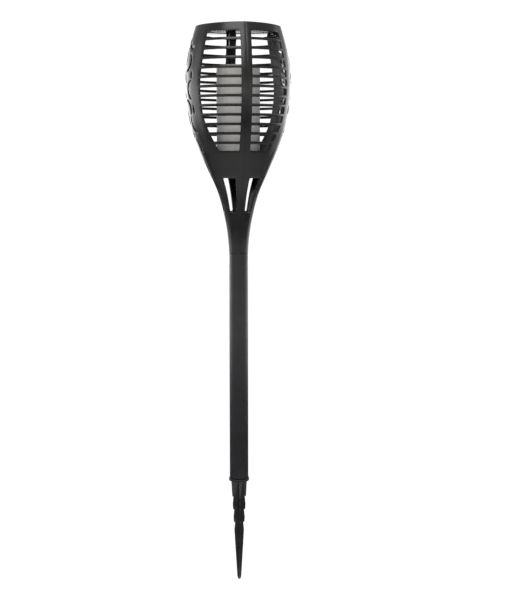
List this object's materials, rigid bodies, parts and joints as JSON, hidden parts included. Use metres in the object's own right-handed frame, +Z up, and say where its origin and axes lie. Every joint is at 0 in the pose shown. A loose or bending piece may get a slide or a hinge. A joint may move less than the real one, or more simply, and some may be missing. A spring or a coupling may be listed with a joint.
{
  "type": "solar tiki torch",
  "caption": "Solar flame torch: slatted lantern with scroll-cut side panels and frosted diffuser on a plain round pole, with a finned ground spike.",
  "frame": {"origin": "on the torch's axis at the soil line, the underside of the spike's flange", "axes": "+Z up the pole, -Y towards the lantern's front rib, +X towards its right scroll panel"},
  "size_m": [0.1198, 0.1198, 0.65],
  "materials": {
    "black_plastic": "satin",
    "pole_plastic": "satin",
    "gloss_black": "glossy",
    "dark_plastic": "satin",
    "white_plastic": "satin",
    "frosted_plastic": "frosted",
    "led_strip": "satin",
    "circuit_board": "lacquered",
    "solar_cell": "glossy",
    "panel_glass": "clear",
    "battery_wrap": "shrink wrap",
    "lead_jacket": "soft",
    "steel": "plated"
  },
  "bodies": {
    "spike": {"ground_spike": "black_plastic"},
    "pole": {"pole": "pole_plastic"},
    "head": {"cage_left": "black_plastic", "cage_right": "black_plastic", "contact_block": "dark_plastic", "lamp_lead": "lead_jacket", "tray": "dark_plastic", "tray_screw_1": "steel", "tray_screw_2": "steel", "tray_screw_3": "steel", "tray_screw_4": "steel", "led_core": "white_plastic", "led_sleeve": "led_strip", "battery_contact": "steel", "battery": "battery_wrap", "battery_spring": "steel", "control_board": "circuit_board", "tact_switch": "dark_plastic"},
    "diffuser": {"diffuser": "frosted_plastic", "diffuser_lid": "frosted_plastic"},
    "button": {"power_button": "dark_plastic"},
    "cap": {"cap_housing": "black_plastic", "cap_base": "gloss_black", "cap_screw_1": "steel", "cap_screw_2": "steel", "cap_screw_3": "steel", "contact_pin_1": "steel", "contact_pin_2": "steel", "panel_board": "circuit_board", "solar_cells": "solar_cell", "panel_glass": "panel_glass"}
  },
  "joints": [
    {"name": "pole_lift", "type": "slide", "parent": "spike", "child": "pole", "axis": [0, 0, 1], "range_m": [0, 0.03]},
    {"name": "head_lift", "type": "slide", "parent": "pole", "child": "head", "axis": [0, 0, 1], "range_m": [0, 0.03]},
    {"name": "cap_lift", "type": "slide", "parent": "head", "child": "cap", "axis": [0, 0, 1], "range_m": [0, 0.03]},
    {"name": "diffuser_twist", "type": "hinge", "parent": "head", "child": "diffuser", "pos_m": [0, 0, 0.3816], "axis": [0, 0, 1], "range_deg": [0, 25]},
    {"name": "button_press", "type": "slide", "parent": "diffuser", "child": "button", "axis": [0, 0, -1], "range_m": [0, 0.0012], "stiffness_N_per_m": 800, "springref_m": -0.0006}
  ]
}
